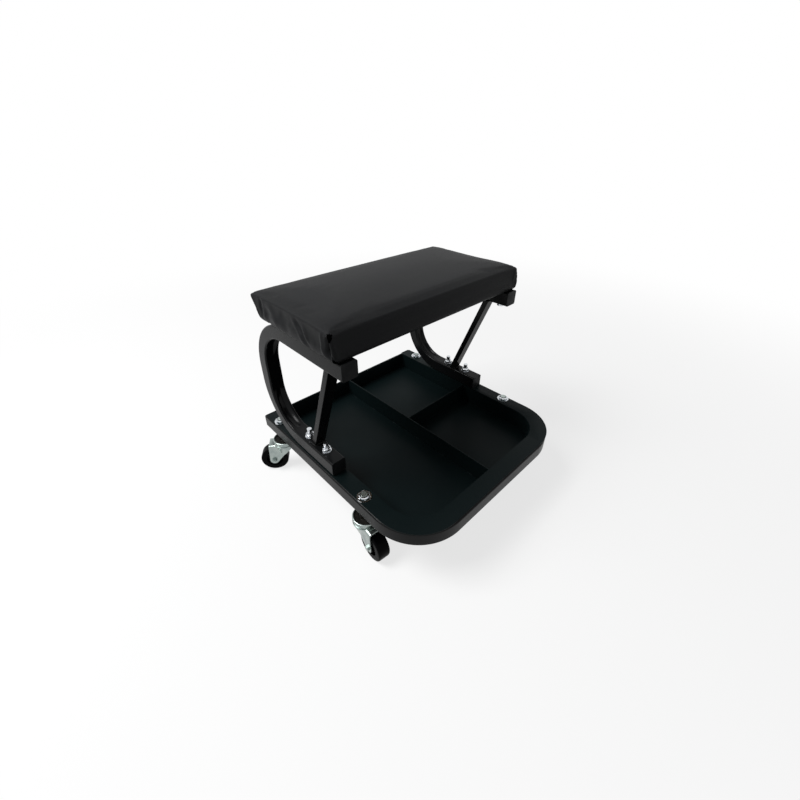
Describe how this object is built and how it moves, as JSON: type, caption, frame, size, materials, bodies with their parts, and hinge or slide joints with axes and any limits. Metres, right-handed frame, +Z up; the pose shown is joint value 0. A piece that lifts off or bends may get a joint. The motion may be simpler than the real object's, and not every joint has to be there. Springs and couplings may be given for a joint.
{
  "type": "creeper seat",
  "caption": "Rolling creeper seat with a padded black seat on bent square-tube frames, a divided steel tool tray and swivel casters",
  "frame": {"origin": "on the floor under the centre of the base, between the four wheels' contact points", "axes": "+X to the right across the seat, +Y to the rear where the side frames bend, +Z up"},
  "size_m": [0.4474, 0.405, 0.3755],
  "materials": {
    "frame_black": "gloss black powder coat",
    "tray_black": "satin black powder coat",
    "plug_black": "black plastic end plugs",
    "zinc_fasteners": "bright zinc-plated steel",
    "zinc_casters": "zinc-plated pressed steel",
    "bearing_steel": "plain bearing steel",
    "wheel_black": "moulded black plastic",
    "plywood": "plain plywood",
    "seat_foam": "cut polyurethane foam",
    "vinyl": "matt black vinyl, fine grain"
  },
  "bodies": {
    "chassis": {"base_tube": "frame_black", "base_end_plugs": "plug_black", "tray": "tray_black", "long_divider": "tray_black", "cross_divider": "tray_black", "left_frame_tube": "frame_black", "right_frame_tube": "frame_black", "left_strut": "frame_black", "right_strut": "frame_black", "frame_end_caps": "plug_black", "frame_bolts": "zinc_fasteners", "frame_washers": "zinc_fasteners", "frame_nuts": "zinc_fasteners", "caster_stems": "zinc_casters", "caster_jam_nuts": "zinc_casters", "caster_washers": "zinc_fasteners", "caster_nuts": "zinc_fasteners", "seat_board": "plywood", "seat_foam": "seat_foam", "seat_cover": "vinyl", "seat_bolts": "zinc_fasteners", "seat_washers": "zinc_fasteners", "seat_tee_nuts": "zinc_fasteners"},
    "swivel_front_left": {"fork_front_left": "zinc_casters", "swivel_balls_front_left": "bearing_steel", "axle_bolt_front_left": "zinc_casters", "axle_nut_front_left": "zinc_casters", "axle_sleeve_front_left": "bearing_steel"},
    "wheel_body_front_left": {"wheel_front_left": "wheel_black"},
    "swivel_front_right": {"fork_front_right": "zinc_casters", "swivel_balls_front_right": "bearing_steel", "axle_bolt_front_right": "zinc_casters", "axle_nut_front_right": "zinc_casters", "axle_sleeve_front_right": "bearing_steel"},
    "wheel_body_front_right": {"wheel_front_right": "wheel_black"},
    "swivel_rear_left": {"fork_rear_left": "zinc_casters", "swivel_balls_rear_left": "bearing_steel", "axle_bolt_rear_left": "zinc_casters", "axle_nut_rear_left": "zinc_casters", "axle_sleeve_rear_left": "bearing_steel"},
    "wheel_body_rear_left": {"wheel_rear_left": "wheel_black"},
    "swivel_rear_right": {"fork_rear_right": "zinc_casters", "swivel_balls_rear_right": "bearing_steel", "axle_bolt_rear_right": "zinc_casters", "axle_nut_rear_right": "zinc_casters", "axle_sleeve_rear_right": "bearing_steel"},
    "wheel_body_rear_right": {"wheel_rear_right": "wheel_black"}
  },
  "joints": [
    {"name": "swivel_front_left", "type": "hinge", "parent": "chassis", "child": "swivel_front_left", "pos_m": [-0.1795, -0.0802, 0.06], "axis": [0, 0, 1], "continuous": true},
    {"name": "roll_front_left", "type": "hinge", "parent": "swivel_front_left", "child": "wheel_body_front_left", "pos_m": [-0.1815, -0.10311, 0.0255], "axis": [-0.9962, 0.0872, 0], "continuous": true},
    {"name": "swivel_front_right", "type": "hinge", "parent": "chassis", "child": "swivel_front_right", "pos_m": [0.1795, -0.0802, 0.06], "axis": [0, 0, 1], "continuous": true},
    {"name": "roll_front_right", "type": "hinge", "parent": "swivel_front_right", "child": "wheel_body_front_right", "pos_m": [0.1815, -0.10311, 0.0255], "axis": [-0.9962, -0.0872, 0], "continuous": true},
    {"name": "swivel_rear_left", "type": "hinge", "parent": "chassis", "child": "swivel_rear_left", "pos_m": [-0.1795, 0.1635, 0.06], "axis": [0, 0, 1], "continuous": true},
    {"name": "roll_rear_left", "type": "hinge", "parent": "swivel_rear_left", "child": "wheel_body_rear_left", "pos_m": [-0.19811, 0.17702, 0.0255], "axis": [0.5878, 0.809, 0], "continuous": true},
    {"name": "swivel_rear_right", "type": "hinge", "parent": "chassis", "child": "swivel_rear_right", "pos_m": [0.1795, 0.1635, 0.06], "axis": [0, 0, 1], "continuous": true},
    {"name": "roll_rear_right", "type": "hinge", "parent": "swivel_rear_right", "child": "wheel_body_rear_right", "pos_m": [0.19811, 0.17702, 0.0255], "axis": [0.5878, -0.809, 0], "continuous": true}
  ]
}
